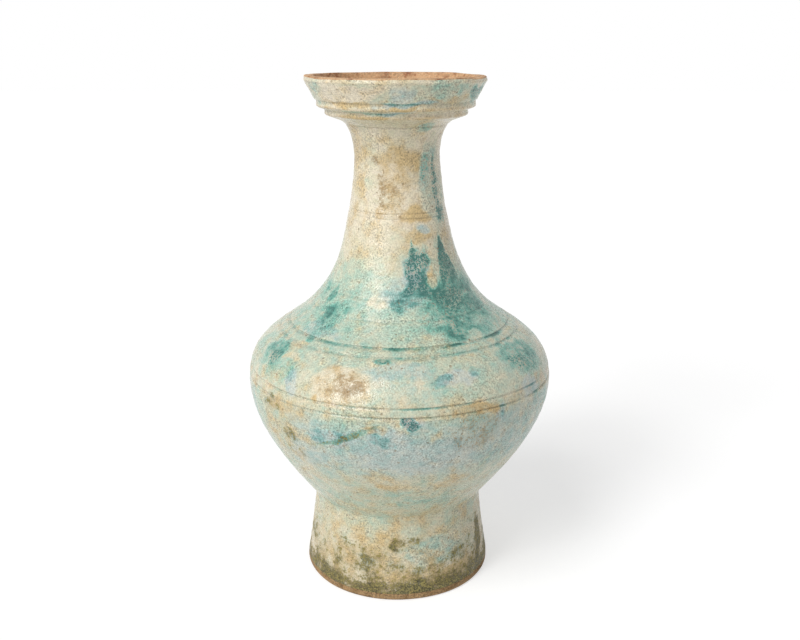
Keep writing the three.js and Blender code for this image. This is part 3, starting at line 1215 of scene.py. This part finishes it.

        # Fine light and dark grain, darker string lines, and pits; the lines' darkening is partly soil and
        # partly painted shade in the grooves.
        busy = busy + moss * 0.8 + deepened * 1.8
        dusky = (mottle * 0.42 + grain * 1.2 - speck * 0.05 - craze * 0.08) * busy
        # The string lines are darkened: partly soil in them, partly painted shade in the grooves.
        dusky = dusky + smear * 0.12 + height.eased(*self.dusky_band, 1.0) - line * 0.16
        colour = graph.blend(graph.scaled(colour, dusky), hues["brown"], pits * self.pit_cover)

        roughness = self.gloss + bare * 0.4 + moss * 0.25 + brown * 0.15 + mottle * 0.5 + smear * 0.4
        least, most = self.roughness_limits
        relief = smear * 0.3 + mottle * 0.3 + grain * 0.25 - speck * 0.06
        relief = relief - craze * 0.04 - pits * 0.3 - bare * 0.2
        return colour, roughness.larger(least).smaller(most), relief

    def stops(self, tones: str) -> list[tuple[float, tuple[float, ...]]]:
        """Pairs each depth of the glaze with its tone."""
        return [(depth, paint(code)[:3]) for depth, code in zip(self.tone_depths, tones.split())]


def marks(tint: Tint, *rows: Sequence[float], run: bool = False) -> tuple[Stain, ...]:
    """Makes stains of one tint, a row for each: azimuth, height, width, tall, amount and any turn."""
    return tuple(Stain(tint, *row, run=run) for row in rows)


# Runs of deep glaze, two at the front and four behind.
RUNS = marks(
    Tint.GLAZE,
    (12, 288, 11, 30, 0.5), (48, 280, 26, 46, 0.85, -5), (142, 278, 26, 62, 0.42),
    (178, 262, 18, 40, 0.4), (205, 286, 20, 70, 0.44), (248, 266, 30, 44, 0.36),
    run=True,
)

# Where the glaze is deeper, and where it is shallower.
GLAZE = marks(
    Tint.GLAZE,
    # Left of the shoulder.
    (-58, 251, 8, 26, 0.22, 10), (-45, 238, 34, 32, 0.18), (-50, 238, 10, 22, 0.14),
    (-48, 229, 52, 20, 0.08), (-48, 222, 12, 8, 0.26), (-63, 210, 36, 30, 0.23),
    (-61, 207, 9, 14, 0.16), (-50, 211, 20, 10, -0.2), (-53, 200, 46, 40, 0.12),
    (-44, 199, 9, 30, 0.16, -14),
    # Middle of the shoulder.
    (-7, 217, 17, 7, 0.36), (-22, 202, 64, 38, -0.24), (0, 212, 56, 20, 0.08),
    (3, 250, 28, 17, 0.16), (13, 262, 30, 14, 0.16),
    # The teal patch under the neck, right of the middle.
    (12, 276, 20, 34, 0.2), (18, 274, 26, 38, 0.22), (16, 270, 34, 46, 0.12),
    (12, 255, 54, 28, 0.12), (26, 283, 11, 21, 0.24), (28, 304, 15, 9, 0.26),
    (30, 268, 11, 20, -0.24),
    # The large teal patch at the right of the shoulder.
    (44, 251, 20, 26, 0.2), (45, 291, 10, 26, 0.14), (36, 253, 22, 26, 0.14),
    (33, 240, 20, 20, 0.13), (34, 231, 28, 18, 0.12), (45, 242, 88, 72, 0.22),
    (62, 250, 44, 44, 0.1), (45, 227, 18, 12, -0.26), (59, 209, 62, 42, 0.28, 20),
    (54, 207, 26, 18, 0.12),
    # Upper belly.
    (6, 202, 70, 34, 0.05), (16, 205, 21, 15, 0.2), (30, 208, 15, 12, 0.2), (42, 188, 5, 5, 0.8),
    # Neck.
    (53, 334, 8, 62, 0.3), (-36, 330, 13, 60, 0.07), (50, 338, 40, 84, 0.24),
    (57, 314, 18, 16, 0.3), (34, 352, 16, 36, 0.12), (31, 381, 22, 14, 0.34),
    # Lightened places on the dish, the shoulder and the neck. The two on the shoulder, at -7 and -13
    # degrees, are partly paler glaze and partly a painted highlight.
    (-38, 409, 70, 20, -0.28), (-7, 240, 44, 36, -0.06), (-13, 250, 26, 16, -0.2),
    (-30, 300, 40, 60, -0.06),
    # Dish, its wall and its ledges.
    (-62, 413, 26, 12, 0.18), (-1, 408, 15, 14, 0.14), (7, 411, 20, 10, 0.14),
    (66, 408, 30, 26, 0.4), (57, 411, 14, 16, 0.24), (32, 412, 50, 18, 0.12), (7, 403, 52, 5, 0.24),
    (-17, 396, 70, 5, 0.24), (-24, 413, 60, 8, -0.2),
    # Below the belly's lines.
    (3, 179.5, 15, 9.5, 0.66, 8), (5, 175, 12, 8, 0.5, -22), (1, 177, 7, 7, 0.3, 30),
    (-27, 162, 48, 19, 0.11), (-5, 162, 24, 11, 0.16), (-19, 162, 66, 6, 0.2, -23),
    (6, 118, 120, 22, -0.1),
    # Waist and foot, then broad washes over both flanks.
    (5, 95, 36, 12, 0.14), (23, 40, 62, 28, 0.16), (-48, 160, 80, 90, -0.07),
    (-62, 205, 50, 50, 0.08), (66, 190, 60, 80, 0.06), (38, 177, 15, 17, 0.12),
    # Washes round the back.
    (165, 242, 120, 54, 0.18), (225, 232, 90, 46, 0.16), (100, 196, 70, 40, 0.14),
)

# Where the glaze is bluer, and where it is greener.
BLUE = marks(
    Tint.BLUE,
    (3, 410, 26, 16, 0.4), (-5, 400, 80, 14, 0.5), (-47, 229, 50, 22, 0.3),
    (-54, 202, 50, 44, -0.6), (-43, 199, 14, 30, 0.8, -14), (0, 212, 60, 22, 0.25),
    (5, 258, 46, 40, 0.3), (14, 274, 34, 36, 0.3), (28, 304, 13, 10, 0.8), (44, 340, 38, 80, 0.2),
    (22, 206, 44, 16, 0.6), (4, 179, 20, 14, 0.6), (-24, 161, 50, 20, 0.4), (-4, 163, 36, 20, 0.4),
    (38, 177, 15, 17, 0.8), (54, 188, 30, 16, 0.7), (5, 148, 110, 44, 0.2), (23, 40, 62, 28, 0.3),
    (62, 246, 40, 40, -0.4), (-7, 217, 18, 8, -0.7), (-55, 165, 70, 100, -0.4),
    (-19, 162, 66, 6, -0.6, -23),
)

# Where dark glaze has run together in the string lines and the dish's notches.
POOL = marks(
    Tint.POOL,
    (0, 223, 32, 12, 0.9), (-31, 223, 44, 12, 0.4), (29, 223, 40, 12, 1.0), (57, 223, 30, 12, 0.9),
    (10, 188, 56, 10, 0.9), (38, 181, 14, 8, 0.8), (56, 188, 26, 12, 0.8), (56, 314, 20, 14, 2.4),
    (7, 404, 56, 8, 1.2), (-17, 397, 74, 8, 1.2),
)

# Ochre soil, more of it and less of it.
OCHRE = marks(
    Tint.OCHRE,
    (-52, 217, 32, 18, 0.25), (-54, 200, 46, 40, 0.34), (40, 202, 60, 34, -0.4),
    (45, 40, 50, 50, -0.2), (-30, 191, 10, 10, 0.8), (18, 298, 30, 18, 0.4), (31, 268, 14, 20, 0.3),
    (38, 207, 22, 16, 0.15), (12, 411, 60, 14, -0.2), (28, 184, 46, 17, 0.4),
    (-50, 187, 44, 20, -0.25), (-8, 171, 26, 9, 0.4), (4, 401, 28, 6, 0.6), (-30, 403, 66, 7, 0.45),
    (-30, 393, 60, 6, 0.4), (40, 405, 50, 8, 0.35), (22, 316, 34, 17, 0.45), (2, 340, 50, 90, 0.16),
    (4, 355, 42, 34, 0.26), (-36, 330, 15, 62, -0.35), (-38, 409, 70, 20, -0.1),
    (6, 118, 120, 24, 0.12), (-14, 47, 50, 26, 0.2), (39, 19, 40, 14, 0.4), (-22, 202, 60, 38, 0.1),
    (-46, 160, 66, 74, 0.3), (-60, 340, 50, 120, 0.15), (5, 150, 110, 40, -0.15),
)

# Brown soil on the belly, the neck and the back.
BROWN = marks(
    Tint.BROWN,
    (-19, 202, 32, 20, 0.46), (-17, 200, 20, 12, 0.24), (-22, 203, 60, 36, 0.2),
    (-32, 355, 12, 12, 0.66), (-22, 336, 9, 44, 0.4), (-4, 334, 9, 9, 0.5),
    (-12, 336, 36, 56, 0.14), (27, 165, 54, 38, 0.44), (28, 184, 44, 16, 0.16),
    (172, 150, 50, 30, 0.25), (210, 330, 14, 24, 0.4),
)

# Moss, low on the foot and at the left of the belly.
MOSS = marks(
    Tint.MOSS,
    (-20, 161, 80, 6, 0.26, -23), (-52, 177, 28, 16, 0.3), (-43, 155, 26, 18, 0.32),
    (-42, 140, 22, 18, 0.28), (-2, 46, 14, 17, 0.5), (8, 51, 26, 6, 0.35), (66, 38, 22, 40, 0.65),
    (-66, 14, 24, 22, 0.2), (-29, 35, 58, 38, 0.18), (23, 40, 54, 22, -0.22),
    (160, 40, 60, 30, 0.2),
)

STAINS: tuple[Stain, ...] = RUNS + GLAZE + BLUE + POOL + OCHRE + BROWN + MOSS


@dataclass(frozen=True)
class Studio:
    """A white floor and backdrop, a tall soft lamp on the left and the photograph's viewpoint.

    The lamp is tall, so it is made as two round ones, one above the other. Distances are in metres.
    """

    lamp_azimuth: float = -42.0
    lamp_elevations: tuple[float, ...] = (28.0, 54.0)
    lamp_distance: float = 2.0
    lamp_spread: float = 22.0
    lamp_strength: float = 1.22
    sky: float = 0.32
    floor_size: float = 14.0
    floor_grey: float = 0.86
    floor_seen_grey: float = 0.55
    floor_lift: float = 0.58
    eye_distance: float = 0.7709
    eye_height: float = 0.4512
    eye_side: float = 0.0004
    eye_tilt: float = 16.76
    lens: float = 42.97
    sensor: float = 36.0

    def build(self) -> None:
        """Makes the floor, lights, backdrop and camera."""
        self.floor()
        for elevation in self.lamp_elevations:
            self.lamp(elevation)
        self.backdrop()
        self.camera()
        bpy.context.scene.view_settings.view_transform = "Standard"

    def floor(self) -> None:
        """Lays a white floor that keeps the jar's soft shadow."""
        sheet = bmesh.new()
        bmesh.ops.create_grid(sheet, x_segments=2, y_segments=2, size=self.floor_size / 2)
        mesh = bpy.data.meshes.new("floor")
        sheet.to_mesh(mesh)
        sheet.free()
        graph = Graph(bpy.data.materials.new("floor_white"))
        greys = [(grey, grey, grey, 1) for grey in (self.floor_grey, self.floor_seen_grey)]
        plain, faint = [graph.node("ShaderNodeBsdfDiffuse", {"Color": grey}) for grey in greys]
        glow = graph.node("ShaderNodeEmission", {"Color": WHITE, "Strength": self.floor_lift})
        pale = graph.node("ShaderNodeAddShader", {0: faint.outputs[0], 1: glow.outputs[0]})
        graph.node("ShaderNodeOutputMaterial", {"Surface": self.by_ray(graph, plain, pale)})
        mesh.materials.append(graph.owner)
        stood(mesh)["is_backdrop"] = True

    @staticmethod
    def by_ray(graph: Graph, lit: bpy.types.Node, seen: bpy.types.Node) -> bpy.types.NodeSocket:
        """Shows one shader as lit, and the other to rays from the camera, a gloss or a glass."""
        path = graph.node("ShaderNodeLightPath")
        kinds = ("Camera", "Glossy", "Transmission")
        camera, glossy, through = [Field(graph, path.outputs[f"Is {kind} Ray"]) for kind in kinds]
        inputs = {0: camera.larger(glossy).larger(through), 1: lit.outputs[0], 2: seen.outputs[0]}
        return graph.node("ShaderNodeMixShader", inputs).outputs[0]

    def lamp(self, elevation: float) -> None:
        """Hangs a broad lamp on the left, in front, at an elevation in degrees."""
        lamp = bpy.data.lights.new("soft_lamp", "SUN")
        lamp.energy = self.lamp_strength
        lamp.angle = math.radians(self.lamp_spread)
        around = math.radians(self.lamp_azimuth)
        out, rise = heading(elevation)
        towards = Vector((math.sin(around) * out, -math.cos(around) * out, rise))
        holder = stood(lamp)
        holder.location = towards * self.lamp_distance
        holder.rotation_euler = towards.to_track_quat("Z", "Y").to_euler()

    def backdrop(self) -> None:
        """Makes the world white to the camera and a plain soft fill to the jar."""
        graph = Graph(bpy.data.worlds.new("studio"))
        levels = (self.sky, 1.0)
        fill, plain = [graph.node("ShaderNodeBackground", {"Color": WHITE, "Strength": s}) for s in levels]
        graph.node("ShaderNodeOutputWorld", {"Surface": self.by_ray(graph, fill, plain)})
        bpy.context.scene.world = graph.owner

    def camera(self) -> None:
        """Stands the camera where the photograph was taken from."""
        lens = bpy.data.cameras.new("viewpoint")
        lens.lens = self.lens
        lens.sensor_width = self.sensor
        holder = stood(lens)
        holder.location = (self.eye_side, -self.eye_distance, self.eye_height)
        holder.rotation_euler = (math.radians(UPRIGHT - self.eye_tilt), 0, 0)
        bpy.context.scene.camera = holder


def corners(box: tuple[Vector, Vector]) -> list[list[float]]:
    """Gives a box as two plain lists of numbers."""
    return [[float(value) for value in corner] for corner in box]


def main() -> None:
    """Builds the jar and its studio."""
    logging.basicConfig(level=logging.INFO, format="%(name)s: %(message)s")
    cad_box = corners(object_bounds())
    outline = JarOutline()
    wear = Wear(jar_height=cad_box[1][2] / MM)
    finish = WeatheredGlaze().material()
    for kind in (FootRing, LowerBowl, UpperBowl, Neck, DishMouth):
        maker = kind(outline, wear, STAINS)
        piece = maker.turn()
        maker.dress(piece, finish)
        log.info("%s: %d faces", piece.name, len(piece.data.polygons))
    Studio().build()
    log.info("sizes written")


if __name__ == "__main__":
    main()
